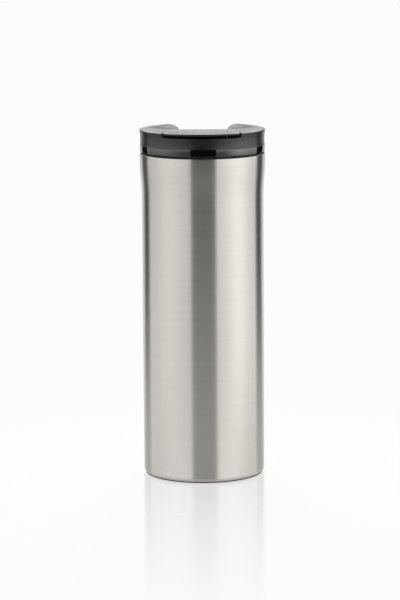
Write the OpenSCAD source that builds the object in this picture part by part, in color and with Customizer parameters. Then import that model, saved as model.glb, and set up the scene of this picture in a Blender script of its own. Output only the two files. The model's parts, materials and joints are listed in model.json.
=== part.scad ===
// Insulated travel mug: a double-wall steel body with a screw-in lid and a flip-up flap.
// The mug stands on z = 0 with its axis on Z. The flap's lip faces -Y, and it parks towards +Y.
// All sizes are millimetres.

/* [Body] */
// Outer diameter of the straight steel wall
body_d = 70; // [68:0.5:71]
// Height of the steel body at its mouth
body_h = 186; // [150:1:220]
// Outer diameter of the steel at its mouth
mouth_d = 72.1; // [71.9:0.1:72.7]
// Height of the S-curve that widens the wall towards the mouth
flare_h = 24; // [20:1:26]
// Thickness of the drawn steel sheet
sheet = 0.6; // [0.5:0.1:0.7]
// Width of the evacuated gap between the two walls
vacuum_gap = 3; // [2.5:0.1:3.2]

/* [Base] */
// Radius of the rounded bottom edge
edge_r = 3; // [2.5:0.1:3.5]
// Height of the steel above the surface, set by the silicone pad
pad_stand = 0.6; // [0.4:0.1:0.8]

/* [Lid] */
// Height of the glossy band under the skirt
band_h = 4; // [3:0.1:5]
// Height of the satin skirt above the band
skirt_h = 8.75; // [8.5:0.05:9.5]
// Depth of the dished top below its rim
dish_depth = 1; // [0.6:0.1:1.2]
// Half width of the channel that holds the flap
channel_x = 14.4; // [13:0.1:15]
// Half width of the pocket that holds the flap's wide lip
pocket_x = 22.1; // [21:0.1:23]
// Radius of the drinking port
port_r = 6; // [5:0.1:6.5]

/* [Thread] */
// Rise of the lid in one turn
lead = 10; // [9:0.5:11]
// Number of thread starts
starts = 2; // [1:1:2]
// Angle that each ridge spans
ridge_span = 200; // [120:10:220]

/* [Hidden] */
$fn = 96;

steel = [0.78, 0.77, 0.75];
bare_steel = [0.66, 0.66, 0.67];
satin_black = [0.16, 0.16, 0.165];
gloss_black = [0.05, 0.05, 0.055];
silicone = [0.10, 0.10, 0.10];
eps = 0.01;

// body radii and levels
body_r = body_d / 2;
mouth_r = mouth_d / 2;
flare_z1 = body_h - 2;
flare_z0 = flare_z1 - flare_h;
lip_r = 0.4;
flange_r = body_r - 4.1;

// liner radii and levels
liner_r = body_r - sheet - vacuum_gap;
liner_z = 9;
liner_corner = 3;
liner_seam_z = liner_z + liner_corner;
neck_r = mouth_r - 2.25;
weld_gap = 0.03;
liner_mouth_r = mouth_r - sheet - weld_gap;
shoulder_z0 = body_h - 30;
shoulder_z1 = body_h - 18;
mouth_flare_z0 = body_h - 5;
mouth_flare_z1 = body_h - 1.5;

// base levels
pad_h = pad_stand + sheet;
pad_r = flange_r - 0.1;
pad_flange_r = body_r - 1;
edge_turn = 50;
cup_z = 4.4;
cup_r = body_r - sheet - 0.05;
evac_r = 1.5;

// lid levels, from the mouth up
gasket_h = 1.2;
gasket_gap = 0.05;
z_band = body_h + gasket_gap + gasket_h;
z_skirt = z_band + band_h;
z_rim = z_skirt + skirt_h;

// lid radii
rim_r = mouth_r;
band_r = mouth_r - 0.12;
waist_r = mouth_r - 0.5;
waist_t = 0.32;
flare_t = 0.92;
rim_edge = 0.8;
skirt_in = mouth_r - 2.25;
spigot_r = skirt_in - 0.1;
spigot_in = spigot_r - 1.6;

// dished top of the lid
land_r = rim_r - 1.8;
dish_r = rim_r - 20;
z_dish = z_rim - dish_depth;

// deck, channel and pocket of the lid cover
cover_t = 1.7;
deck_t = 1.6;
z_deck = z_rim - 6;
z_pocket = z_rim - 2.65;
pocket_y = -24.1;
wall_t = 1.8;
notch_round = 7;
notch_x = channel_x + 5.6;

// flap, its hinge and its lip
flap_gap = 0.3;
lip_gap = 0.6;
lip_t = 1.25;
plate_z = z_rim - 2.8;
plate_y = -28.6;
rib_t = 0.9;
rib_h = 2.2;
hinge_y = 6;
hinge_z = z_rim - 3;
knuckle_r = 2.1;
pin_r = 1;
pin_half = 17.6;
boss_r = 2.6;
running = 0.08;
held = 0.03;

// drinking port, vent and their seals
port_y = -20;
vent_y = -4;
vent_r = 1.2;
floor_t = 1.6;
z_floor = z_band + floor_t;
post_h = 1.8;

// threaded plug and thread ridges
plug_r = neck_r - sheet - 1.7;
plug_in = plug_r - 1.8;
plug_z = body_h - 17.4;
seat_r = plug_r + 1.2;
seat_z = body_h - 3;
ridge_h = 1.2;
ridge_root = 2;
ridge_crest = 1;
ridge_bite = 0.3;
ridge_ramp = 18;
ridge_step = 6;
inner_ridge_z = body_h - 13;
ridge_offset = -1.7;

// Points along an arc, from angle a0 to a1, about [x, y]
function arc(x, y, r, a0, a1, n = 6) =
    [for (i = [0:n]) let (a = a0 + (a1 - a0) * i / n) [x + r * cos(a), y + r * sin(a)]];

// Points of a smooth S-curve from [r0, z0] to [r1, z1]
function s_curve(r0, z0, r1, z1, n = 12) =
    [for (i = [0:n]) [r0 + (r1 - r0) * (1 - cos(180 * i / n)) / 2, z0 + (z1 - z0) * i / n]];

// Radius of the lid's concave skirt at t, from 0 at its foot to 1 at its rim
function skirt_r(t) = waist_r + (rim_r - waist_r) * pow((t - waist_t) / (flare_t - waist_t), 2);

// Height of a thread ridge at angle a, ramped to nothing at both ends
function ramp(a) = ridge_h * max(0.05, min(1, a / ridge_ramp, (ridge_span - a) / ridge_ramp));

// One ring of a thread ridge: sign is 1 for an outside thread and -1 for an inside one
function ridge_ring(r, sign, a) =
    let (h = ramp(a), z = lead * a / 360, root = ridge_root / 2, crest = ridge_crest / 2)
    [for (p = [[-ridge_bite, -root], [h, -crest], [h, crest], [-ridge_bite, root]])
        [(r + sign * p[0]) * cos(a), (r + sign * p[0]) * sin(a), z + p[1]]];

// A helical ridge of a right-hand thread on a wall of radius r
module ridge(r, sign) {
    rings = ceil(ridge_span / ridge_step);
    points = [for (i = [0:rings]) each ridge_ring(r, sign, ridge_span * i / rings)];
    sides = [for (i = [0:rings - 1], j = [0:3])
        let (a = i * 4 + j, b = i * 4 + (j + 1) % 4, c = b + 4, d = a + 4)
        sign > 0 ? [a, b, c, d] : [d, c, b, a]];
    first = sign > 0 ? [3, 2, 1, 0] : [0, 1, 2, 3];
    last = [for (j = [0:3]) rings * 4 + (sign > 0 ? j : 3 - j)];
    polyhedron(points = points, faces = concat([first], sides, [last]), convexity = 4);
}

module thread(r, sign, z) {
    for (k = [0:starts - 1])
        rotate([0, 0, 360 * k / starts])
            translate([0, 0, z])
                ridge(r, sign);
}

module ring(r_out, r_in, z0, z1) {
    difference() {
        translate([0, 0, z0]) cylinder(r = r_out, h = z1 - z0);
        translate([0, 0, z0 - 1]) cylinder(r = r_in, h = z1 - z0 + 2);
    }
}

module box(x0, x1, y0, y1, z0, z1) {
    translate([x0, y0, z0]) cube([x1 - x0, y1 - y0, z1 - z0]);
}

// ---- steel body ----

module outer_shell() {
    foot = pad_stand;
    edge_z = foot + edge_r * sin(edge_turn);
    inner_turn = asin((edge_z - foot - sheet) / (edge_r - sheet));
    outside = concat(
        [[flange_r, foot]],
        arc(body_r - edge_r, edge_z, edge_r, -edge_turn, 0),
        s_curve(body_r, flare_z0, mouth_r, flare_z1),
        arc(mouth_r - lip_r, body_h - lip_r, lip_r, 0, 90, 4)
    );
    inside = concat(
        [[mouth_r - sheet, body_h]],
        s_curve(mouth_r - sheet, flare_z1, body_r - sheet, flare_z0),
        arc(body_r - edge_r, edge_z, edge_r - sheet, 0, -inner_turn),
        [[flange_r, foot + sheet]]
    );
    color(steel) rotate_extrude() polygon(concat(outside, inside));
}

module inner_liner() {
    outside = concat(
        [[liner_r, liner_seam_z]],
        s_curve(liner_r, shoulder_z0, neck_r, shoulder_z1, 8),
        s_curve(neck_r, mouth_flare_z0, liner_mouth_r, mouth_flare_z1, 6),
        [[liner_mouth_r, body_h - lip_r], [liner_mouth_r - 0.1, body_h]]
    );
    inside = concat(
        [[liner_mouth_r - sheet + 0.1, body_h], [liner_mouth_r - sheet, body_h - lip_r]],
        s_curve(liner_mouth_r - sheet, mouth_flare_z1, neck_r - sheet, mouth_flare_z0, 6),
        s_curve(neck_r - sheet, shoulder_z1, liner_r - sheet, shoulder_z0, 8),
        [[liner_r - sheet, liner_seam_z]]
    );
    color(bare_steel) union() {
        rotate_extrude() polygon(concat(outside, inside));
        thread(neck_r - sheet, -1, inner_ridge_z);
    }
}

module liner_base() {
    centre_r = liner_r - liner_corner;
    color(bare_steel) rotate_extrude() polygon(concat(
        [[0, liner_z]],
        arc(centre_r, liner_seam_z, liner_corner, -90, 0),
        arc(centre_r, liner_seam_z, liner_corner - sheet, 0, -90),
        [[0, liner_z + sheet]]
    ));
}

module foil_wrap() {
    color([0.72, 0.45, 0.30])
        ring(liner_r + 0.3, liner_r + 0.15, liner_z + liner_corner + 3, shoulder_z0 - 6);
}

module getter_holder() {
    color(bare_steel) difference() {
        translate([0, 0, liner_z - 1.7]) cylinder(r = 6, h = 1.7 - eps);
        translate([0, 0, liner_z - 2]) cylinder(r = 5.5, h = 1.7);
    }
}

module getter_pellet() {
    color([0.45, 0.45, 0.46])
        translate([0, 0, liner_z - 1.5]) cylinder(r = 5.3, h = 1.1);
}

// ---- base ----

module base_cup() {
    rim_z = cup_z + 4.6;
    corner = 1.6;
    outside = concat(
        [[evac_r, cup_z]],
        arc(cup_r - corner, cup_z + corner, corner, -90, 0),
        [[cup_r, rim_z]]
    );
    inside = concat(
        [[cup_r - sheet, rim_z]],
        arc(cup_r - corner, cup_z + corner, corner - sheet, 0, -90),
        [[evac_r, cup_z + sheet]]
    );
    color(bare_steel) rotate_extrude() polygon(concat(outside, inside));
}

module evac_seal() {
    color([0.55, 0.55, 0.52]) union() {
        translate([0, 0, cup_z - 0.9]) cylinder(r1 = 2, r2 = 3, h = 0.9 - eps);
        translate([0, 0, cup_z - 0.5]) cylinder(r = evac_r - 0.05, h = 0.5 + sheet);
    }
}

module base_cover() {
    color(bare_steel)
        translate([0, 0, pad_h + 0.05]) cylinder(r = flange_r + 1, h = 0.5);
}

module base_pad() {
    groove_d = 0.4;
    c = 0.3;
    color(silicone) difference() {
        rotate_extrude() polygon([
            [0, 0], [pad_flange_r - c, 0], [pad_flange_r, c], [pad_flange_r, pad_stand - eps],
            [pad_r, pad_stand - eps], [pad_r, pad_h], [0, pad_h]
        ]);
        for (r = [18, 21, 24, 27])
            ring(r + 0.5, r - 0.5, -groove_d, groove_d);
    }
}

// ---- lid ----

module lid_gasket() {
    z0 = body_h + gasket_gap;
    r0 = seat_r + 0.1;
    r1 = mouth_r - 0.75;
    c = 0.25;
    color(silicone) rotate_extrude() polygon([
        [r0, z0], [r1 - c, z0], [r1, z0 + c],
        [r1, z_band - c], [r1 - c, z_band - eps], [r0, z_band - eps]
    ]);
}

// Outline of the lid's skirt and rounded rim, from the foot to the top
function skirt_outline(z0) =
    let (t0 = (z0 - z_skirt) / skirt_h, t1 = 1 - rim_edge / skirt_h, n = 10)
    concat(
        [for (i = [0:n]) let (t = t0 + (t1 - t0) * i / n) [skirt_r(t), z_skirt + t * skirt_h]],
        arc(skirt_r(t1) - rim_edge, z_rim - rim_edge, rim_edge, 15, 90, 5)
    );

// The lid's outer form, filled in, from level z0 to its dished top
module lid_form(z0) {
    rotate_extrude() polygon(concat(
        [[0, z0]],
        skirt_outline(z0),
        [[land_r, z_rim], [dish_r, z_dish], [0, z_dish]]
    ));
}

// The deck under the flap and the walls beside it, within the skirt
module channel_tray() {
    intersection() {
        translate([0, 0, z_deck - deck_t]) cylinder(r = skirt_in + 0.2, h = 10);
        union() {
            box(-channel_x - wall_t, channel_x + wall_t, -40, 40, z_deck - deck_t, z_dish - 0.5);
            box(-pocket_x - wall_t, pocket_x + wall_t, -40, pocket_y + wall_t,
                z_pocket - cover_t, z_dish - 0.5);
        }
    }
}

// Profile across the open end of the channel, with rounded shoulders that meet its walls
module notch_profile() {
    top = z_rim + 2;
    r = notch_round;
    a = acos((notch_x - channel_x) / r);
    polygon(concat(
        [[-notch_x, top]],
        arc(-notch_x, z_rim - r, r, 90, a, 8),
        [[-channel_x, z_deck], [channel_x, z_deck]],
        arc(notch_x, z_rim - r, r, 180 - a, 90, 8),
        [[notch_x, top]]
    ));
}

module channel_cut() {
    intersection() {
        box(-channel_x, channel_x, -40, 10, z_deck, z_rim + 5);
        translate([0, 0, z_deck - 1]) cylinder(r = skirt_in, h = 12);
    }
    box(-pocket_x, pocket_x, -40, pocket_y, z_pocket, z_rim + 5);
    translate([0, 45, 0]) rotate([90, 0, 0]) linear_extrude(36) notch_profile();
}

module along_x(r, half) {
    translate([-half, hinge_y, hinge_z]) rotate([0, 90, 0]) cylinder(r = r, h = 2 * half);
}

module lid_cover() {
    color(satin_black) difference() {
        union() {
            difference() {
                lid_form(z_skirt);
                translate([0, 0, z_skirt - 1])
                    cylinder(r = skirt_in, h = skirt_h + 1 - dish_depth - cover_t);
            }
            channel_tray();
            difference() {
                along_x(boss_r, channel_x + wall_t + 2);
                box(-30, 30, -30, 30, z_dish - 0.5, z_rim + 5);
            }
        }
        channel_cut();
        along_x(pin_r + held, pin_half + 0.4);
        translate([0, port_y, z_deck - 5]) cylinder(r = port_r, h = 10);
        translate([0, vent_y, z_deck - 5]) cylinder(r = vent_r, h = 10);
    }
}

module lid_plug() {
    c = 0.3;
    outline = [
        [0, z_band], [plug_in, z_band], [plug_in, plug_z], [plug_r - 0.8, plug_z],
        [plug_r, plug_z + 0.8], [plug_r, seat_z - 0.6], [seat_r, seat_z], [seat_r, z_band],
        [band_r - c, z_band], [band_r, z_band + c], [band_r, z_skirt - c],
        [band_r - c, z_skirt - eps], [spigot_r, z_skirt - eps], [spigot_r, z_deck - deck_t - 0.2],
        [spigot_in, z_deck - deck_t - 0.2], [spigot_in, z_floor], [0, z_floor]
    ];
    color(gloss_black) difference() {
        union() {
            rotate_extrude() polygon(outline);
            thread(plug_r, 1, inner_ridge_z + ridge_offset);
        }
        translate([0, port_y, z_band - 1]) cylinder(r = port_r, h = 5);
        translate([0, vent_y, z_band - 1]) cylinder(r = vent_r, h = 5);
    }
}

module grommet(y, r_in, r_out) {
    color(silicone) translate([0, y, 0])
        ring(r_out, r_in, z_floor + eps, z_deck - deck_t - eps);
}

module port_grommet() {
    grommet(port_y, port_r, port_r + 1.8);
}

module vent_grommet() {
    grommet(vent_y, vent_r, vent_r + 1.6);
}

module insulation_disc() {
    z0 = z_floor + 0.1;
    h = z_deck - deck_t - 0.1 - z0;
    color([0.90, 0.90, 0.88]) difference() {
        translate([0, 0, z0]) cylinder(r = spigot_in - 0.2, h = h);
        translate([0, port_y, z0 - 1]) cylinder(r = port_r + 2, h = h + 2);
        translate([0, vent_y, z0 - 1]) cylinder(r = vent_r + 1.8, h = h + 2);
    }
}

module hinge_pin() {
    color(bare_steel) along_x(pin_r, pin_half);
}

// ---- flap ----

module flap() {
    half = channel_x - flap_gap;
    color(satin_black) difference() {
        union() {
            intersection() {
                lid_form(plate_z);
                box(-half, half, plate_y, hinge_y, plate_z, z_rim + 1);
            }
            intersection() {
                lid_form(z_rim - lip_t);
                box(-pocket_x + lip_gap, pocket_x - lip_gap, -40, pocket_y - lip_gap,
                    z_rim - lip_t, z_rim + 1);
            }
            difference() {
                along_x(knuckle_r, half);
                box(-half - 1, half + 1, -5, 15, z_dish, z_rim);
            }
            translate([0, port_y, plate_z - post_h]) cylinder(r = 2.2, h = post_h + 0.5);
            translate([0, vent_y, plate_z - post_h]) cylinder(r = 1.2, h = post_h + 0.5);
            box(-half, half, plate_y, plate_y + rib_t, plate_z - rib_h, plate_z + 0.5);
        }
        along_x(pin_r + running, half + 1);
    }
}

module spout_seal() {
    shoulder_z = z_deck + 0.4;
    nose_z = z_deck - 1.4;
    color(silicone) difference() {
        translate([0, port_y, 0]) union() {
            translate([0, 0, shoulder_z])
                cylinder(r = port_r + 1.4, h = plate_z - shoulder_z - eps);
            translate([0, 0, nose_z])
                cylinder(r1 = port_r - 0.7, r2 = port_r - 0.3, h = shoulder_z - nose_z + eps);
        }
        translate([0, port_y, plate_z - post_h - 0.2]) cylinder(r = 2.25, h = post_h + 1);
    }
}

module vent_seal() {
    z0 = z_deck + 0.3;
    color(silicone) difference() {
        translate([0, vent_y, z0]) cylinder(r = vent_r + 1.8, h = plate_z - z0 - eps);
        translate([0, vent_y, plate_z - post_h - 0.2]) cylinder(r = 1.25, h = post_h + 1);
    }
}

outer_shell();
inner_liner();
liner_base();
foil_wrap();
getter_holder();
getter_pellet();
base_cup();
evac_seal();
base_cover();
base_pad();
lid_gasket();
lid_cover();
lid_plug();
insulation_disc();
port_grommet();
vent_grommet();
hinge_pin();
flap();
spout_seal();
vent_seal();
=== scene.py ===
"""The looks of an insulated travel mug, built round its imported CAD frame.

Lengths are in millimetres, in the frame's own axes, until mesh_object() turns them into metres. The lengths
of the materials and the studio are in metres from the start.
"""

import itertools
import json
import math
import bmesh
import bpy
import numpy as np
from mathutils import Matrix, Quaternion, Vector


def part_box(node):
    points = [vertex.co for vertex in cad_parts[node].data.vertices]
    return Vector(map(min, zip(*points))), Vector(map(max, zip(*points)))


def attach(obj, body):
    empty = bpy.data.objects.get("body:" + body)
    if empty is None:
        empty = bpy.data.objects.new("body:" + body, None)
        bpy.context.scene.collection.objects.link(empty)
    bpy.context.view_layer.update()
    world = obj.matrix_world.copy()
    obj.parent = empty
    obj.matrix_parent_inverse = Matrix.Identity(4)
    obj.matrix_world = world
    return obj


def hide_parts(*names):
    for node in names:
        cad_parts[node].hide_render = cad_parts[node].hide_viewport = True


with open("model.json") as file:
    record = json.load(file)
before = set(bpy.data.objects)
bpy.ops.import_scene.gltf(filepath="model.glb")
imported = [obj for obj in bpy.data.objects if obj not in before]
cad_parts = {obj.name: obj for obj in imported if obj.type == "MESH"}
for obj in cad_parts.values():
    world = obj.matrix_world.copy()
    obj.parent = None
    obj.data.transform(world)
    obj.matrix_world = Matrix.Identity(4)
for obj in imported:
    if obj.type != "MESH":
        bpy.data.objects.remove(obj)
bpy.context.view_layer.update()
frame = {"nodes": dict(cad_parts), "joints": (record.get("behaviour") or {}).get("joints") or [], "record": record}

# ---- measures, read from the frame where it has them ----

MM = 0.001


def low(node, axis):
    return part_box(node)[0][axis] / MM


def high(node, axis):
    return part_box(node)[1][axis] / MM


MOUNTS = {mount["name"]: mount for mount in frame["record"]["mounts"]}
JOINTS = {joint["name"]: joint for joint in frame["joints"]}

BODY_R = MOUNTS["cup_holder"]["dims"]["r_mm"]
BODY_H = high("outer_shell", 2)
MOUTH_R = high("outer_shell", 0)
FOOT_Z = low("outer_shell", 2)
SHEET = 0.6
GAP = 0.01
FLARE_Z1 = BODY_H - 2
FLARE_Z0 = FLARE_Z1 - 24
EDGE_R = 3
EDGE_TURN = 50

LINER_Z = low("liner_base", 2)
LINER_SEAM_Z = high("liner_base", 2)
LINER_MOUTH_R = high("inner_liner", 0)
LINER_R = BODY_R - 3.6
NECK_R = MOUTH_R - 2.25
SHOULDER_Z0 = BODY_H - 30
SHOULDER_Z1 = BODY_H - 18

GASKET_Z0 = low("lid_gasket", 2)
Z_BAND = high("lid_gasket", 2)
GASKET_R = high("lid_gasket", 0)
Z_SKIRT = low("lid_cover", 2)
Z_RIM = high("lid_cover", 2)
SKIRT_H = Z_RIM - Z_SKIRT
RIM_R = MOUTH_R
BAND_R = high("lid_plug", 0)
WAIST_R = MOUTH_R - 0.5
SKIRT_IN = MOUTH_R - 2.25
SKIRT_SINK = 0.3

PLUG_Z = low("lid_plug", 2)
PLUG_TOP = high("lid_plug", 2)
PLUG_R = NECK_R - SHEET - 1.7
PLUG_IN = PLUG_R - 1.8
SEAT_R = PLUG_R + 1.2
SEAT_Z = BODY_H - 3
Z_FLOOR = low("port_grommet", 2)

Z_DISH = Z_RIM - 1
Z_DECK = Z_RIM - 6
Z_POCKET = Z_RIM - 2.65
DECK_T = 1.6
COVER_T = 1.7
WALL_T = 1.8
CHANNEL_X = 14.4
NOTCH_ROUND = 7
NOTCH_EDGE = 0.05
TOP_EDGE = 0.08
NOTCH_X = CHANNEL_X + 5.6
POCKET_X = 22.1
POCKET_Y = -24.1
PLATE_Z = Z_RIM - 2.8
PLATE_X = CHANNEL_X - 0.06
PLATE_Y = -28.6
RIB_T = 0.9
RIB_H = 2.2
LIP_X = POCKET_X - 0.6
LIP_Y = POCKET_Y - 0.6
LIP_Z = Z_RIM - 1.25

HINGE_Y = JOINTS["flap_open"]["pos_m"][1] / MM
HINGE_Z = JOINTS["flap_open"]["pos_m"][2] / MM
KNUCKLE_R = 2.1
BOSS_R = 2.6
PIN_HOLE_R = 1.03
PIN_END = 18
PIVOT_HOLE_R = 1.08
PORT_Y = -20
PORT_R = 6
VENT_Y = -4
VENT_R = 1.2
POST_HALF_H = 1.0

LEAD = 10
STARTS = 2
RIDGE_SPAN = 200
RIDGE_H = 1.2
RIDGE_ROOT = 1.0
RIDGE_CREST = 0.5
RIDGE_RAMP = 18
INNER_RIDGE_Z = BODY_H - 13
OUTER_RIDGE_Z = INNER_RIDGE_Z - 1.7

SEGMENTS = 288


# ---- meshes ----

def mesh_object(name, points, faces, sharp=35):
    """A mesh object from points in millimetres. Edges that turn by more than sharp degrees stay sharp."""
    mesh = bpy.data.meshes.new(name)
    mesh.from_pydata((np.asarray(points) * MM).tolist(), [], faces)
    shape = bmesh.new()
    shape.from_mesh(mesh)
    bmesh.ops.recalc_face_normals(shape, faces=shape.faces)
    shape.to_mesh(mesh)
    shape.free()
    mesh.polygons.foreach_set("use_smooth", [True] * len(mesh.polygons))
    if sharp:
        mesh.set_sharp_from_angle(angle=math.radians(sharp))
    thing = bpy.data.objects.new(name, mesh)
    bpy.context.scene.collection.objects.link(thing)
    return thing


def rounded(corners, steps=5):
    """An outline of (radius, height) points, with each (radius, height, fillet) corner made an arc."""
    made = []
    count = len(corners)
    for i, corner in enumerate(corners):
        here = Vector(corner[:2])
        fillet = corner[2] if len(corner) > 2 else 0
        if not fillet:
            made.append(tuple(here))
            continue
        to_last = (Vector(corners[i - 1][:2]) - here).normalized()
        to_next = (Vector(corners[(i + 1) % count][:2]) - here).normalized()
        half = to_last.angle(to_next) / 2
        middle = here + (to_last + to_next).normalized() * fillet / math.sin(half)
        start = here + to_last * fillet / math.tan(half) - middle
        end = here + to_next * fillet / math.tan(half) - middle
        for step in range(steps + 1):
            t = step / steps
            spoke = start.lerp(end, t).normalized() * fillet
            made.append(tuple(middle + spoke))
    return made


def s_curve(r0, z0, r1, z1, steps=24):
    """Points of a smooth change of radius with height, upright at both ends."""
    return [(r0 + (r1 - r0) * (1 - math.cos(math.pi * i / steps)) / 2, z0 + (z1 - z0) * i / steps)
            for i in range(steps + 1)]


def arc(r, z, radius, turn0, turn1, steps=12):
    """Points of an arc about (r, z), with its turns in degrees up from the radial direction."""
    turns = [math.radians(turn0 + (turn1 - turn0) * i / steps) for i in range(steps + 1)]
    return [(r + radius * math.cos(turn), z + radius * math.sin(turn)) for turn in turns]


def spread(r, z0, z1, pitch):
    """Points up a straight wall, close enough to carry a relief."""
    steps = max(1, round(abs(z1 - z0) / pitch))
    return [(r, z0 + (z1 - z0) * i / steps) for i in range(steps + 1)]


def lathe(name, outline, relief=None, segments=SEGMENTS, centre_y=0, sharp=35):
    """A solid of revolution of a closed outline. relief(radius, height, turn) moves its wall outwards."""
    r, z = (np.array(side)[:, None] for side in zip(*outline))
    angle = np.arange(segments)[None, :] * 2 * math.pi / segments
    wall = r + (relief(r, z, angle) if relief else 0 * angle)
    points = np.stack([wall * np.cos(angle), wall * np.sin(angle) + centre_y, z + 0 * angle], axis=-1)
    index = np.arange(points.shape[0] * segments).reshape(points.shape[:2])
    poles = np.flatnonzero(np.abs(r[:, 0]) < 1e-6)
    index[poles] = index[poles, :1]
    faces = []
    for i in range(len(index)):
        a, b = index[i], index[(i + 1) % len(index)]
        for j in range(segments):
            k = (j + 1) % segments
            ring = [a[j], a[k], b[k], b[j]]
            ring = [v for n, v in enumerate(ring) if v != ring[n - 1]]
            if len(ring) > 2:
                faces.append([int(v) for v in ring])
    used = sorted({v for face in faces for v in face})
    new_index = {v: n for n, v in enumerate(used)}
    faces = [[new_index[v] for v in face] for face in faces]
    return mesh_object(name, points.reshape(-1, 3)[used], faces, sharp)


# ---- solids from distance fields, for moulded parts whose edges all have a radius ----

def both(a, b, radius=0.0):
    """Where two fields overlap, with the edge between them rounded. A field is negative inside its solid."""
    beyond = np.hypot(np.maximum(a + radius, 0), np.maximum(b + radius, 0))
    return np.minimum(np.maximum(a, b), -radius) + beyond


def either(a, b, radius=0.0):
    return -both(-a, -b, radius)


def minus(a, b, radius=0.0):
    return both(a, -b, radius)


def blend_step(v, start, end):
    """A smooth change from 0 at start to 1 at end."""
    t = np.clip((v - start) / (end - start), 0, 1)
    return t * t * (3 - 2 * t)


def net_points(value, axes):
    """One point in each grid cell that the surface crosses, and a grid of the points' numbers.

    Each point lies at the mean of the places where the surface crosses the cell's edges.
    """
    shape = np.array(value.shape) - 1
    corners = list(itertools.product((0, 1), repeat=3))

    def at(corner):
        return value[tuple(slice(c, c + n) for c, n in zip(corner, shape))]

    inside = sum((at(corner) < 0).astype(np.int8) for corner in corners)
    cells = np.argwhere((inside > 0) & (inside < 8))
    number = -np.ones(shape, dtype=np.int64)
    number[tuple(cells.T)] = np.arange(len(cells))
    total, weight = np.zeros((len(cells), 3)), np.zeros((len(cells), 1))
    for corner in corners:
        for axis in range(3):
            if corner[axis]:
                continue
            far = tuple(c + (n == axis) for n, c in enumerate(corner))
            v0, v1 = (value[tuple((cells + end).T)] for end in (corner, far))
            crossed = (v0 < 0) != (v1 < 0)
            t = np.where(crossed, v0 / np.where(crossed, v0 - v1, 1), 0)
            spot = cells + np.array(corner) + t[:, None] * (np.arange(3) == axis)
            total += spot * crossed[:, None]
            weight += crossed[:, None]
    start = np.array([axis[0] for axis in axes])
    pitch = np.array([axis[1] - axis[0] for axis in axes])
    return start + total / weight * pitch, number


def net_faces(value, number):
    """A quad round each grid edge that the surface crosses, facing outwards."""
    faces = []
    inside = value < 0
    for axis in range(3):
        side_a, side_b = (axis + 1) % 3, (axis + 2) % 3
        near = np.take(inside, range(value.shape[axis] - 1), axis)
        far = np.take(inside, range(1, value.shape[axis]), axis)
        crossed = np.argwhere(near != far)
        at_a, at_b = crossed[:, side_a], crossed[:, side_b]
        within = (at_a > 0) & (at_b > 0)
        within &= (at_a < number.shape[side_a]) & (at_b < number.shape[side_b])
        crossed = crossed[within]
        ring = []
        for back_a, back_b in ((1, 1), (0, 1), (0, 0), (1, 0)):
            cell = crossed.copy()
            cell[:, side_a] -= back_a
            cell[:, side_b] -= back_b
            ring.append(number[tuple(cell.T)])
        quads = np.stack(ring, axis=1)
        outwards = near[tuple(crossed.T)]
        faces.append(np.where(outwards[:, None], quads, quads[:, ::-1]))
    return np.concatenate(faces)


def field_object(name, field, corner_low, corner_high, pitch):
    """The surface where field(x, y, z) is zero, as a fine quad mesh whose points lie on it."""
    rounds, nudge, furthest = 6, 0.01, 0.6 * pitch
    axes = [np.arange(a, b + pitch, pitch) for a, b in zip(corner_low, corner_high)]
    value = field(*np.meshgrid(*axes, indexing="ij"))
    points, number = net_points(value, axes)
    faces = net_faces(value, number)
    first = points.copy()
    for _ in range(rounds):
        here = field(*points.T)
        slope = np.stack([(field(*(points + d).T) - field(*(points - d).T)) / (2 * nudge)
                          for d in np.eye(3) * nudge], axis=1)
        move = -slope * (here / np.maximum((slope ** 2).sum(1), 0.05))[:, None]
        points = first + np.clip(points + move - first, -furthest, furthest)
    return mesh_object(name, points, faces.tolist(), sharp=None)


# ---- the lid's shared form ----

def skirt_radius(z):
    """Narrowest at the waist, a third of the way up, and as wide as the rim just below the rim's rounding."""
    t = np.clip((z - Z_SKIRT) / SKIRT_H, 0, 1)
    waist_t, rim_t = 0.32, 0.92
    return WAIST_R + (RIM_R - WAIST_R) * ((t - waist_t) / (rim_t - waist_t)) ** 2


def lid_side(x, y, z):
    return np.hypot(x, y) - skirt_radius(z)


def lid_top(x, y, z):
    """Below the lid's top, which is flat at the rim and dished inside it."""
    return z - Z_RIM + (Z_RIM - Z_DISH) * blend_step(np.hypot(x, y), RIM_R - 1.8, RIM_R - 20)


def rim_radius(z):
    """The rim is rounded more than the edges that are cut below it."""
    return 0.25 + 0.55 * blend_step(z, Z_RIM - 2.2, Z_RIM - 1.0)


def rod_x(y, z, radius):
    return np.hypot(y - HINGE_Y, z - HINGE_Z) - radius


def channel_cut(x, y, z):
    """What the channel takes from the lid's top. Its shoulders are rounded more and more behind the hinge."""
    across = np.abs(x)
    channel = both(across - CHANNEL_X, Z_DECK - z, 0.8)
    channel = np.where(y < 0, both(channel, np.hypot(x, y) - SKIRT_IN, 0.6), channel)
    opened = blend_step(y, HINGE_Y + 2.5, HINGE_Y + 20)
    curve = NOTCH_EDGE + (NOTCH_ROUND - NOTCH_EDGE) * opened
    centre_x = CHANNEL_X + NOTCH_EDGE + (NOTCH_X - CHANNEL_X - NOTCH_EDGE) * opened
    beside, above = across - centre_x, z - Z_RIM + curve
    shoulder = np.maximum(np.maximum(beside, -above), curve - np.hypot(beside, above))
    return either(channel, shoulder, 0.5)


def cover_outside(x, y, z):
    """The cover before it is hollowed, with the channel and the pocket for the flap's lip cut into it."""
    pocket = both(both(np.abs(x) - POCKET_X, y - POCKET_Y, 0.4), Z_POCKET - z, 0.3)
    solid = minus(lid_top(x, y, z), channel_cut(x, y, z), TOP_EDGE)
    solid = minus(solid, pocket, 0.3)
    solid = both(solid, lid_side(x, y, z), rim_radius(z))
    return both(solid, Z_SKIRT - SKIRT_SINK - z, 0.12)


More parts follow.
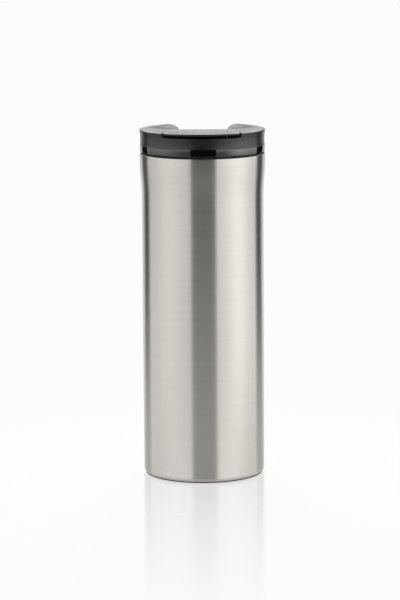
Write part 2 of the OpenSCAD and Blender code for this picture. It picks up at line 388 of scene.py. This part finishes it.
def cover_hollow(x, y, z):
    """The space under the cover, round the channel's tray, the pocket's tray and the hinge's bosses."""
    across = np.abs(x)
    channel_tray = np.maximum(across - CHANNEL_X - WALL_T, Z_DECK - DECK_T - z)
    pocket_tray = np.maximum(across - POCKET_X - WALL_T, y - POCKET_Y - WALL_T)
    pocket_tray = np.maximum(pocket_tray, Z_POCKET - COVER_T - z)
    bosses = np.maximum(rod_x(y, z, BOSS_R), across - CHANNEL_X - WALL_T - 2)
    kept = np.minimum(np.minimum(channel_tray, pocket_tray), bosses)
    return minus(np.maximum(np.hypot(x, y) - SKIRT_IN, z - Z_DISH + COVER_T), kept, 0.4)


def cover_field(x, y, z):
    solid = minus(cover_outside(x, y, z), cover_hollow(x, y, z), 0.3)
    solid = minus(solid, np.maximum(rod_x(y, z, PIN_HOLE_R), np.abs(x) - PIN_END), 0.1)
    solid = minus(solid, np.hypot(x, y - PORT_Y) - PORT_R, 0.45)
    return minus(solid, np.hypot(x, y - VENT_Y) - VENT_R, 0.2)


def flap_plate(x, y, z):
    """The flap's plate, with the rib under its front end."""
    across = np.abs(x)
    plate = both(both(across - PLATE_X, PLATE_Z - z, 0.3), PLATE_Y - y, 0.3)
    plate = both(plate, y - HINGE_Y, 0.2)
    rib = np.maximum(across - PLATE_X, np.abs(y - PLATE_Y - RIB_T / 2) - RIB_T / 2)
    rib = np.maximum(rib, PLATE_Z - RIB_H - z)
    return either(plate, np.maximum(rib, z - PLATE_Z - 0.5), 0.3)


def flap_field(x, y, z):
    lip = both(both(np.abs(x) - LIP_X, y - LIP_Y, 0.5), LIP_Z - z, 0.3)
    knuckle = both(rod_x(y, z, KNUCKLE_R), np.abs(x) - PLATE_X, 0.3)
    knuckle = np.maximum(knuckle, z - Z_DISH)
    solid = either(either(flap_plate(x, y, z), lip, 0.5), knuckle, 0.6)
    solid = both(solid, lid_top(x, y, z), TOP_EDGE)
    solid = both(solid, lid_side(x, y, z), rim_radius(z))
    for post_y, post_r in ((PORT_Y, 2.2), (VENT_Y, 1.2)):
        post = np.maximum(np.hypot(x, y - post_y) - post_r, np.abs(z - PLATE_Z + 0.8) - POST_HALF_H)
        solid = either(solid, post)
    return minus(solid, rod_x(y, z, PIVOT_HOLE_R), 0.1)


# ---- threads ----

def ridge_relief(turn, z, z0):
    """Height of the two-start thread's ridges at an angle and a height."""
    relief = 0 * turn * z
    for start in range(STARTS):
        along = (np.degrees(turn) - 360 / STARTS * start) % 360
        ramp = np.clip(np.minimum(along, RIDGE_SPAN - along) / RIDGE_RAMP, 0, 1)
        off = np.abs(z - z0 - LEAD * along / 360)
        profile = np.clip((RIDGE_ROOT - off) / (RIDGE_ROOT - RIDGE_CREST), 0, 1)
        relief = np.maximum(relief, RIDGE_H * ramp * profile)
    return relief


# ---- materials ----

def material(name, **sockets):
    """A Principled material with the given constant sockets. Returns it with its nodes, links and shader."""
    made = bpy.data.materials.new(name)
    made.use_nodes = True
    nodes, links = made.node_tree.nodes, made.node_tree.links
    shader = nodes["Principled BSDF"]
    for socket, value in sockets.items():
        shader.inputs[socket.replace("_", " ")].default_value = value
    return made, nodes, links, shader


def noise(nodes, links, stretch, scale, detail=3.0, rough=0.55):
    """Noise on the object's own coordinates, which are metres, stretched along each axis."""
    where = nodes.new("ShaderNodeTexCoord")
    mapping = nodes.new("ShaderNodeMapping")
    mapping.inputs["Scale"].default_value = stretch
    texture = nodes.new("ShaderNodeTexNoise")
    texture.inputs["Scale"].default_value = scale
    texture.inputs["Detail"].default_value = detail
    texture.inputs["Roughness"].default_value = rough
    links.new(where.outputs["Object"], mapping.inputs["Vector"])
    links.new(mapping.outputs["Vector"], texture.inputs["Vector"])
    return texture.outputs["Fac"]


def remap(nodes, links, value, low_to, high_to, low_from=0.3, high_from=0.7):
    """A value that runs from low_from to high_from, made to run from low_to to high_to."""
    node = nodes.new("ShaderNodeMapRange")
    node.inputs["From Min"].default_value = low_from
    node.inputs["From Max"].default_value = high_from
    node.inputs["To Min"].default_value = low_to
    node.inputs["To Max"].default_value = high_to
    links.new(value, node.inputs["Value"])
    return node.outputs["Result"]


def tint(nodes, links, value, dark, light):
    node = nodes.new("ShaderNodeMix")
    node.data_type = "RGBA"
    node.inputs["A"].default_value = (*dark, 1)
    node.inputs["B"].default_value = (*light, 1)
    links.new(value, node.inputs["Factor"])
    return node.outputs["Result"]


def bump(nodes, links, shader, value, height, strength=1.0):
    node = nodes.new("ShaderNodeBump")
    node.inputs["Distance"].default_value = height
    node.inputs["Strength"].default_value = strength
    links.new(value, node.inputs["Height"])
    links.new(node.outputs["Normal"], shader.inputs["Normal"])


def math_node(nodes, links, operation, *values):
    node = nodes.new("ShaderNodeMath")
    node.operation = operation
    for i, value in enumerate(values):
        if isinstance(value, (int, float)):
            node.inputs[i].default_value = value
        else:
            links.new(value, node.inputs[i])
    return node.outputs[0]


def turned_steel(name, colour, roughness, anisotropy, brush):
    """Steel brushed round the mug's axis: sharp across the brushing and smeared up and down."""
    made, nodes, links, shader = material(
        name, Metallic=1.0, Anisotropic=anisotropy, Anisotropic_Rotation=0.25)
    tangent = nodes.new("ShaderNodeTangent")
    tangent.direction_type = "RADIAL"
    tangent.axis = "Z"
    links.new(tangent.outputs["Tangent"], shader.inputs["Tangent"])
    fine = noise(nodes, links, (12, 12, 3600), 1.0, 4.0, 0.6)
    broad = noise(nodes, links, (5, 5, 260), 1.0, 3.0, 0.6)
    streaks = math_node(nodes, links, "ADD", fine, broad)
    span = (0.6, 1.4)
    dark = [c * (1 - brush) for c in colour]
    light = [c * (1 + brush) for c in colour]
    shade = tint(nodes, links, remap(nodes, links, streaks, 0, 1, *span), dark, light)
    rough = remap(nodes, links, streaks, roughness * 0.9, roughness * 1.1, *span)
    links.new(shade, shader.inputs["Base Color"])
    links.new(rough, shader.inputs["Roughness"])
    bump(nodes, links, shader, fine, 0.000004, 0.4)
    return made


def moulded(name, colour, rough_low, rough_high, grain, depth, top_scale=1.0, **sockets):
    """Moulded plastic or silicone with a grain, whose size is in metres. top_scale smooths its top faces."""
    made, nodes, links, shader = material(name, **sockets)
    cloud = noise(nodes, links, (1, 1, 1), 90, 3.0)
    fine = noise(nodes, links, (1, 1, 1), 1 / grain, 2.0, 0.6)
    rough = remap(nodes, links, cloud, rough_low, rough_high)
    if top_scale != 1:
        where = nodes.new("ShaderNodeTexCoord")
        split = nodes.new("ShaderNodeSeparateXYZ")
        links.new(where.outputs["Normal"], split.inputs[0])
        scale = remap(nodes, links, split.outputs["Z"], 1.0, top_scale, 0.6, 0.9)
        rough = math_node(nodes, links, "MULTIPLY", rough, scale)
    links.new(rough, shader.inputs["Roughness"])
    light = [c * 1.18 for c in colour]
    shade = tint(nodes, links, remap(nodes, links, fine, 0, 1), colour, light)
    links.new(shade, shader.inputs["Base Color"])
    bump(nodes, links, shader, fine, depth)
    return made


def plain_metal(name, colour, roughness):
    """Unbrushed metal with a faint mottling."""
    made, nodes, links, shader = material(name, Metallic=1.0)
    mottled = noise(nodes, links, (1, 1, 1), 700, 4.0)
    rough = remap(nodes, links, mottled, roughness * 0.8, roughness * 1.25)
    links.new(rough, shader.inputs["Roughness"])
    dark = [c * 0.9 for c in colour]
    links.new(tint(nodes, links, mottled, dark, colour), shader.inputs["Base Color"])
    bump(nodes, links, shader, mottled, 0.00001, 0.3)
    return made


STEEL = turned_steel("brushed_steel", (0.61, 0.588, 0.553), 0.34, 1.0, 0.05)
INNER_STEEL = turned_steel("polished_steel", (0.60, 0.58, 0.55), 0.30, 0.6, 0.03)
BARE_STEEL = plain_metal("plain_steel", (0.56, 0.55, 0.54), 0.35)
PIN_STEEL = plain_metal("pin_steel", (0.60, 0.60, 0.60), 0.15)
FOIL = plain_metal("copper_foil", (0.80, 0.45, 0.30), 0.22)
GETTER = plain_metal("getter", (0.30, 0.29, 0.28), 0.6)
SEAL_GLASS = moulded("seal_glass", (0.55, 0.57, 0.53), 0.1, 0.2, 0.0004, 0.000005)
SATIN = moulded("satin_plastic", (0.013, 0.0126, 0.0126), 0.28, 0.32, 0.00035, 0.000004, top_scale=0.45)
GLOSS = moulded("gloss_plastic", (0.002, 0.002, 0.002), 0.03, 0.05, 0.002, 0.0000005, IOR=1.75)
SILICONE = moulded(
    "seal_silicone", (0.005, 0.005, 0.005), 0.60, 0.70, 0.0003, 0.00001, Specular_IOR_Level=0.35)
PAD = moulded("pad_silicone", (0.015, 0.0135, 0.012), 0.7, 0.8, 0.0004, 0.00002)
FOAM = moulded("foam", (0.78, 0.78, 0.75), 0.85, 0.95, 0.0006, 0.00008)

NODE_MATERIALS = {
    "foil_wrap": FOIL,
    "getter_holder": BARE_STEEL,
    "getter_pellet": GETTER,
    "base_cup": BARE_STEEL,
    "evac_seal": SEAL_GLASS,
    "base_cover": BARE_STEEL,
    "insulation_disc": FOAM,
    "port_grommet": SILICONE,
    "vent_grommet": SILICONE,
    "hinge_pin": PIN_STEEL,
}


def place(piece, made, body, node):
    """Gives a piece its material and its body, and hides the CAD node it stands in for."""
    piece.data.materials.clear()
    piece.data.materials.append(made)
    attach(piece, body)
    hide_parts(node)


# ---- pieces of the mug ----

def make_shell():
    flange_r = BODY_R - 4.1
    edge_z = FOOT_Z + EDGE_R * math.sin(math.radians(EDGE_TURN))
    inner_turn = math.degrees(math.asin((edge_z - FOOT_Z - SHEET) / (EDGE_R - SHEET)))
    edge = arc(BODY_R - EDGE_R, edge_z, EDGE_R, -EDGE_TURN, 0)
    outside = rounded([(flange_r, FOOT_Z), (*edge[0], 0.25), edge[1]], 4)[:-1] + edge[1:]
    outside += s_curve(BODY_R, FLARE_Z0, MOUTH_R, FLARE_Z1)
    lip = rounded([
        (MOUTH_R, FLARE_Z1), (MOUTH_R, BODY_H, 0.3), (MOUTH_R - SHEET, BODY_H), (MOUTH_R - SHEET, FLARE_Z1),
    ])
    inside = s_curve(MOUTH_R - SHEET, FLARE_Z1, BODY_R - SHEET, FLARE_Z0)[1:]
    corner = arc(BODY_R - EDGE_R, edge_z, EDGE_R - SHEET, 0, -inner_turn)
    outline = outside + lip[1:] + inside + corner + [(flange_r, FOOT_Z + SHEET)]
    piece = lathe("shell", outline)
    place(piece, STEEL, "mug", "outer_shell")


def make_liner():
    top = BODY_H
    wall = NECK_R - SHEET
    mouth = LINER_MOUTH_R - SHEET
    neck_z1 = top - 5
    mouth_z0 = top - 1.5
    outside = [(LINER_R, LINER_SEAM_Z), *s_curve(LINER_R, SHOULDER_Z0, NECK_R, SHOULDER_Z1)]
    outside += s_curve(NECK_R, neck_z1, LINER_MOUTH_R, mouth_z0, 12)
    lip = rounded([(LINER_MOUTH_R, mouth_z0), (LINER_MOUTH_R, top), (mouth, top, 0.45), (mouth, mouth_z0)])
    inside = s_curve(mouth, mouth_z0, wall, neck_z1, 12)[1:]
    neck = spread(wall, neck_z1, SHOULDER_Z1, 0.2)[1:]
    shoulder = s_curve(wall, SHOULDER_Z1, LINER_R - SHEET, SHOULDER_Z0)[1:]
    seam = [(LINER_R - SHEET, LINER_SEAM_Z)]

    def relief(r, z, turn):
        on_neck = (np.abs(r - wall) < 0.001) & (z > SHOULDER_Z1 - 0.1)
        return -ridge_relief(turn, z, INNER_RIDGE_Z) * on_neck

    piece = lathe("liner", outside + lip[1:] + inside + neck + shoulder + seam, relief)
    place(piece, INNER_STEEL, "mug", "inner_liner")


def make_liner_base():
    corner = LINER_SEAM_Z - LINER_Z
    inside_r = LINER_R - SHEET
    outside = rounded([(0, LINER_Z), (LINER_R, LINER_Z, corner), (LINER_R, LINER_SEAM_Z + 1)], 10)[:-1]
    inside = rounded([
        (inside_r, LINER_SEAM_Z + 1), (inside_r, LINER_Z + SHEET, corner - SHEET), (0, LINER_Z + SHEET),
    ], 10)[1:]
    piece = lathe("liner_bottom", outside + inside)
    place(piece, INNER_STEEL, "mug", "liner_base")


def make_pad():
    foot_r, top = high("base_pad", 0), high("base_pad", 2)
    inset_r = BODY_R - 4.2
    corners = [(0, 0)]
    for r in (18, 21, 24, 27):
        inner, outer = r - 0.5, r + 0.5
        corners += [(inner, 0, 0.12), (inner, 0.4, 0.12), (outer, 0.4, 0.12), (outer, 0, 0.12)]
    corners += [(foot_r, 0, 0.25), (foot_r, FOOT_Z - GAP, 0.1), (inset_r, FOOT_Z - GAP)]
    corners += [(inset_r, top), (0, top)]
    piece = lathe("foot_pad", rounded(corners, 4))
    place(piece, PAD, "mug", "base_pad")


def make_gasket():
    inner_r = SEAT_R + 0.1
    outline = rounded([
        (inner_r, GASKET_Z0), (GASKET_R, GASKET_Z0, 0.35), (GASKET_R, Z_BAND, 0.35), (inner_r, Z_BAND),
    ])
    piece = lathe("gasket_ring", outline)
    place(piece, SILICONE, "seal_ring", "lid_gasket")


def crowned_band(z0, z1, steps=10):
    """The band's profile: a little barrel-shaped, with small rounded edges."""
    tall, crown = z1 - z0, 0.09
    middle = [(BAND_R - crown * (2 * i / steps - 1) ** 2, z0 + tall * i / steps) for i in range(1, steps)]
    return [(BAND_R - crown, z0, 0.15), *middle, (BAND_R - crown, z1, 0.12)]


def make_plug():
    spigot_r = SKIRT_IN - 0.1
    spigot_in = spigot_r - 1.6
    ceiling = Z_BAND + GAP
    ledge = Z_SKIRT - GAP
    outline = rounded([
        (0, ceiling), (PLUG_IN, ceiling, 0.8), (PLUG_IN, PLUG_Z, 0.6), (PLUG_R, PLUG_Z, 0.8),
        (PLUG_R, PLUG_Z + 1),
    ])
    outline += spread(PLUG_R, PLUG_Z + 1.2, SEAT_Z - 1.2, 0.2)
    outline += rounded([
        (PLUG_R, SEAT_Z - 1), (PLUG_R, SEAT_Z - 0.7, 0.3), (SEAT_R, SEAT_Z, 0.3), (SEAT_R, ceiling, 0.2),
        *crowned_band(ceiling, ledge), (spigot_r, ledge),
        (spigot_r, PLUG_TOP, 0.2), (spigot_in, PLUG_TOP), (spigot_in, Z_FLOOR, 0.4), (0, Z_FLOOR),
    ])

    def relief(r, z, turn):
        on_wall = (np.abs(r - PLUG_R) < 0.001) & (z < SEAT_Z - 0.6)
        return ridge_relief(turn, z, OUTER_RIDGE_Z) * on_wall

    piece = lathe("threaded_plug", outline, relief)
    for y, r in ((PORT_Y, PORT_R), (VENT_Y, VENT_R)):
        drill(piece, y, r, Z_BAND - 3, Z_FLOOR + 3)
    place(piece, GLOSS, "lid", "lid_plug")


def drill(piece, y, r, z0, z1):
    """A round hole down through a piece, cut for good."""
    cutter = lathe("cutter", [(0, z0), (r, z0), (r, z1), (0, z1)], segments=96, centre_y=y)
    cut = piece.modifiers.new("hole", "BOOLEAN")
    cut.operation = "DIFFERENCE"
    cut.solver = "EXACT"
    cut.object = cutter
    graph = bpy.context.evaluated_depsgraph_get()
    done = bpy.data.meshes.new_from_object(piece.evaluated_get(graph))
    piece.modifiers.clear()
    old = piece.data
    piece.data = done
    bpy.data.meshes.remove(old)
    bpy.data.objects.remove(cutter)


def make_cover():
    edge = RIM_R + 1
    bottom, top = Z_SKIRT - SKIRT_SINK - 0.8, Z_RIM + 0.8
    piece = field_object("lid_top", cover_field, (-edge, -edge, bottom), (edge, edge, top), 0.3)
    place(piece, SATIN, "lid", "lid_cover")


def make_flap():
    corner_low = (-LIP_X - 1, -RIM_R - 1, HINGE_Z - KNUCKLE_R - 0.8)
    corner_high = (LIP_X + 1, HINGE_Y + KNUCKLE_R + 1, Z_RIM + 0.8)
    piece = field_object("drink_flap", flap_field, corner_low, corner_high, 0.24)
    place(piece, SATIN, "flap", "flap")


def make_spout_seal():
    shoulder_r = PORT_R + 1.4
    shoulder_z = Z_DECK + 0.4
    nose_z = low("spout_seal", 2)
    outline = rounded([
        (0, nose_z + 0.5), (PORT_R - 2.2, nose_z + 0.5, 0.4), (PORT_R - 1.6, nose_z, 0.3),
        (PORT_R - 0.7, nose_z, 0.4), (PORT_R - 0.3, shoulder_z, 0.2),
        (shoulder_r, shoulder_z, 0.35), (shoulder_r, PLATE_Z, 0.1), (0, PLATE_Z),
    ])
    piece = lathe("spout_stopper", outline, segments=128, centre_y=PORT_Y)
    place(piece, SILICONE, "flap", "spout_seal")


def make_vent_seal():
    r = high("vent_seal", 0)
    z0 = low("vent_seal", 2)
    outline = rounded([(0, z0), (r, z0, 0.5), (r, PLATE_Z, 0.1), (0, PLATE_Z)])
    piece = lathe("vent_button", outline, segments=96, centre_y=VENT_Y)
    place(piece, SILICONE, "flap", "vent_seal")


def dress_cad_nodes():
    for node, made in NODE_MATERIALS.items():
        slots = frame["nodes"][node].data.materials
        slots.clear()
        slots.append(made)


# ---- studio ----

PAPER_WHITE = 0.972
TABLE_R = 0.35
TABLE_GAP = 0.00005
VIEW_TURN = 1.0
BEHIND = 400


def ease(nodes, links, value, start, end):
    """A smooth change from 0 at start to 1 at end, as a shader node."""
    node = nodes.new("ShaderNodeMapRange")
    node.interpolation_type = "SMOOTHSTEP"
    node.inputs["From Min"].default_value = start
    node.inputs["From Max"].default_value = end
    links.new(value, node.inputs["Value"])
    return node.outputs["Result"]


class Studio:
    """Light from each direction, as shader nodes.

    turn is in degrees round from the camera's side of the mug, positive to the right, and away is the same
    without its sign. rise is in degrees above the horizon. BEHIND is past the largest value of away.
    """

    def __init__(self, nodes, links):
        self.nodes, self.links = nodes, links
        where = nodes.new("ShaderNodeTexCoord")
        split = nodes.new("ShaderNodeSeparateXYZ")
        links.new(where.outputs["Generated"], split.inputs[0])
        x, y, z = split.outputs
        to_degrees = 180 / math.pi
        front = self.calc("ARCTAN2", x, self.calc("MULTIPLY", y, -1.0))
        self.turn = self.calc("SUBTRACT", self.calc("MULTIPLY", front, to_degrees), VIEW_TURN)
        self.away = self.calc("ABSOLUTE", self.turn)
        self.rise = self.calc("MULTIPLY", self.calc("ARCSINE", z), to_degrees)

    def calc(self, operation, *values):
        return math_node(self.nodes, self.links, operation, *values)

    def ease(self, value, start, end):
        return ease(self.nodes, self.links, value, start, end)

    def between(self, value, start, end, soft):
        """1 from start to end and 0 outside, with soft edges."""
        upward = self.ease(value, start - soft, start + soft)
        downward = self.ease(value, end + soft, end - soft)
        return self.times(upward, downward)

    def times(self, first, *others):
        for other in others:
            first = self.calc("MULTIPLY", first, other)
        return first

    def line(self, value, slope, base):
        return self.calc("MULTIPLY_ADD", value, slope, base)

    def backdrop(self):
        """White paper behind the mug, wider near the floor. The lid's dished top mirrors its bands."""
        wide = self.between(self.away, 155, BEHIND, 1.5)
        wide_low = self.times(self.between(self.away, 145.5, BEHIND, 1), self.ease(self.rise, 3, 0))
        light = self.calc("MAXIMUM", wide, wide_low)
        light = self.times(light, self.ease(self.rise, -68, -52))
        bands = (
            (self.times(self.between(self.away, 150, BEHIND, 8), self.between(self.rise, 7, 10, 1.5)), -0.9),
            (self.between(self.rise, -2.5, 3.5, 2), -0.3),
            (self.between(self.rise, 0.5, 3.5, 1.5), -0.45),
            (self.between(self.rise, 4.5, 6.5, 1), 0.25),
        )
        for band, change in bands:
            light = self.times(light, self.line(band, change, 1.0))
        return light

    def softbox(self, turns, low_span, low_gain, low_loss, side_span, side_loss, bright):
        """A tall softbox at one side.

        Near the floor it loses low_loss, and regains low_gain over the degrees in low_span. Its light of
        bright falls by side_loss over the degrees in side_span.
        """
        tall = self.times(self.ease(self.rise, -20, 8), self.ease(self.rise, 42, 14))
        light = self.times(self.between(self.rise, -50, 45, 10), self.line(tall, 0.62, 0.5))
        near_floor = self.between(self.rise, -16, 2, 4)
        low_change = self.line(self.ease(self.away, *low_span), low_gain, -low_loss)
        light = self.times(self.between(self.turn, *turns, 2), light, self.line(near_floor, low_change, 1.0))
        return self.times(light, self.line(self.ease(self.away, *side_span), -side_loss, bright))

    def light(self):
        left = self.softbox((-122, -22.5), (25, 95), 1.1, 0.67, (50, 115), 0.88, 1.68)
        right = self.softbox((25.3, 119), (34, 86), 1.75, 0.63, (45, 115), 1.26, 2.06)
        backlight = self.times(self.between(self.away, 115, BEHIND, 8), self.between(self.rise, 22, 62, 10))
        strip = self.times(self.between(self.away, 160, BEHIND, 5), self.between(self.rise, 20, 44, 3))
        ceiling = self.ease(self.rise, 55, 70)
        total = self.calc("ADD", right, left)
        for lamp, strength in (
            (self.backdrop(), PAPER_WHITE), (backlight, 1.6), (strip, 4), (ceiling, 0.3),
        ):
            total = self.calc("ADD", total, self.times(lamp, strength))
        return self.calc("ADD", total, 0.02)


def make_world():
    """White studio: bright paper behind, a softbox on each side, dark gaps between them, a soft ceiling.

    The camera sees even white paper instead.
    """
    world = bpy.data.worlds.new("studio")
    bpy.context.scene.world = world
    world.use_nodes = True
    nodes, links = world.node_tree.nodes, world.node_tree.links
    nodes.clear()
    path = nodes.new("ShaderNodeLightPath")
    studio = nodes.new("ShaderNodeBackground")
    paper = nodes.new("ShaderNodeBackground")
    mix = nodes.new("ShaderNodeMixShader")
    output = nodes.new("ShaderNodeOutputWorld")
    links.new(Studio(nodes, links).light(), studio.inputs["Strength"])
    studio.inputs["Color"].default_value = (1, 1, 1, 1)
    paper.inputs["Strength"].default_value = PAPER_WHITE
    paper.inputs["Color"].default_value = (1, 1, 1, 1)
    links.new(path.outputs["Is Camera Ray"], mix.inputs["Fac"])
    links.new(studio.outputs[0], mix.inputs[1])
    links.new(paper.outputs[0], mix.inputs[2])
    links.new(mix.outputs[0], output.inputs["Surface"])


def table_material():
    """Glossy near the mug and fading into the white around it."""
    made, nodes, links, shader = material(
        "table", Base_Color=(0.12, 0.12, 0.12, 1), Roughness=0.12, IOR=1.42,
        Emission_Color=(1, 1, 1, 1), Emission_Strength=0.61)
    where = nodes.new("ShaderNodeNewGeometry")
    length = nodes.new("ShaderNodeVectorMath")
    length.operation = "LENGTH"
    links.new(where.outputs["Position"], length.inputs[0])
    fade = nodes.new("ShaderNodeMapRange")
    fade.inputs["From Min"].default_value = 0.03
    fade.inputs["From Max"].default_value = 0.32
    links.new(length.outputs["Value"], fade.inputs["Value"])
    glow = nodes.new("ShaderNodeEmission")
    glow.inputs["Strength"].default_value = PAPER_WHITE
    mix = nodes.new("ShaderNodeMixShader")
    links.new(fade.outputs["Result"], mix.inputs["Fac"])
    links.new(shader.outputs[0], mix.inputs[1])
    links.new(glow.outputs[0], mix.inputs[2])
    links.new(mix.outputs[0], nodes["Material Output"].inputs["Surface"])
    return made


def make_table():
    """A round white table, a hair below the mug so that their flat faces don't coincide. It is in metres."""
    bpy.ops.mesh.primitive_circle_add(
        vertices=128, radius=TABLE_R, fill_type="NGON", location=(0, 0, -TABLE_GAP))
    table = bpy.context.object
    table.name = "table"
    table.data.materials.append(table_material())


def make_camera():
    """A long lens a metre and a half away, a little above the mug and a little to the right of its lip."""
    tilt, turn, roll = math.radians(9.1), math.radians(VIEW_TURN), math.radians(-0.37)
    distance = 1.52
    aim = Vector((-0.0019, 0, 0.1006))
    data = bpy.data.cameras.new("camera")
    data.sensor_width = 36
    data.lens = 157.7
    data.clip_start, data.clip_end = 0.05, 20
    camera = bpy.data.objects.new("camera", data)
    bpy.context.scene.collection.objects.link(camera)
    back = Vector((math.sin(turn) * math.cos(tilt), -math.cos(turn) * math.cos(tilt), math.sin(tilt)))
    camera.location = aim + back * distance
    camera.rotation_mode = "QUATERNION"
    camera.rotation_quaternion = (-back).to_track_quat("-Z", "Y") @ Quaternion((0, 0, 1), roll)
    bpy.context.scene.camera = camera


make_shell()
make_liner()
make_liner_base()
make_pad()
make_gasket()
make_plug()
make_cover()
make_flap()
make_spout_seal()
make_vent_seal()
dress_cad_nodes()
make_world()
make_table()
make_camera()
bpy.context.scene.view_settings.view_transform = "Standard"
